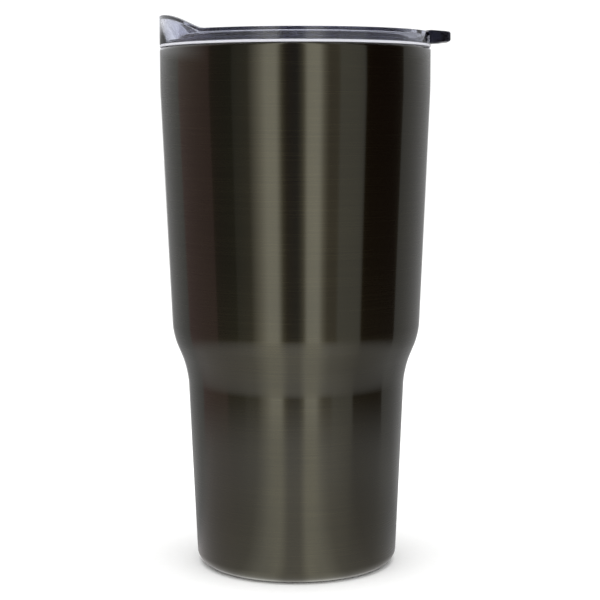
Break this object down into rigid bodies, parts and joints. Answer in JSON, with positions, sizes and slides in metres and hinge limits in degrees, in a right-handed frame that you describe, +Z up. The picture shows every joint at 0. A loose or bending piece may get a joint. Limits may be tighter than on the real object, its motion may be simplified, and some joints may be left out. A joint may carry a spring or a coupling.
{
  "type": "insulated tumbler",
  "caption": "Double-walled steel tumbler with a stepped, tapering body, a press-in lid with spout and thumb tab, and a flip-up closure.",
  "frame": {"origin": "middle of the flat base, on the surface that the tumbler stands on", "axes": "+Z up along the cup's axis, -X towards the spout, +X towards the thumb tab"},
  "size_m": [0.1071, 0.1, 0.2046],
  "materials": {
    "graphite_steel": "brushed stainless under a clear graphite-tinted lacquer",
    "bare_steel": "bare drawn stainless steel, satin",
    "polished_steel": "polished stainless pin",
    "getter_alloy": "pressed metal powder",
    "seal_glass": "melted glass bead",
    "clear_plastic": "clear moulded plastic, polished",
    "smoke_plastic": "dark smoke-tinted moulded plastic",
    "dark_plastic": "moulded dark navy plastic",
    "white_silicone": "translucent white silicone"
  },
  "bodies": {
    "cup": {"outer_shell": "graphite_steel", "inner_liner": "bare_steel", "vacuum_base": "bare_steel", "vacuum_seal": "seal_glass", "base_cover": "graphite_steel", "getter_holder": "bare_steel", "getter": "getter_alloy"},
    "lid": {"lid_rim": "clear_plastic", "lid_plug": "smoke_plastic", "lid_gasket": "white_silicone", "hinge_pin": "polished_steel"},
    "closure": {"flip_lever": "dark_plastic", "stopper": "white_silicone"}
  },
  "joints": [
    {"name": "lid_lift", "type": "slide", "parent": "cup", "child": "lid", "axis": [0, 0, 1], "range_m": [0, 0.04]},
    {"name": "closure_flip", "type": "hinge", "parent": "lid", "child": "closure", "pos_m": [0, 0, 0.1955], "axis": [0, 1, 0], "range_deg": [0, 165]}
  ]
}
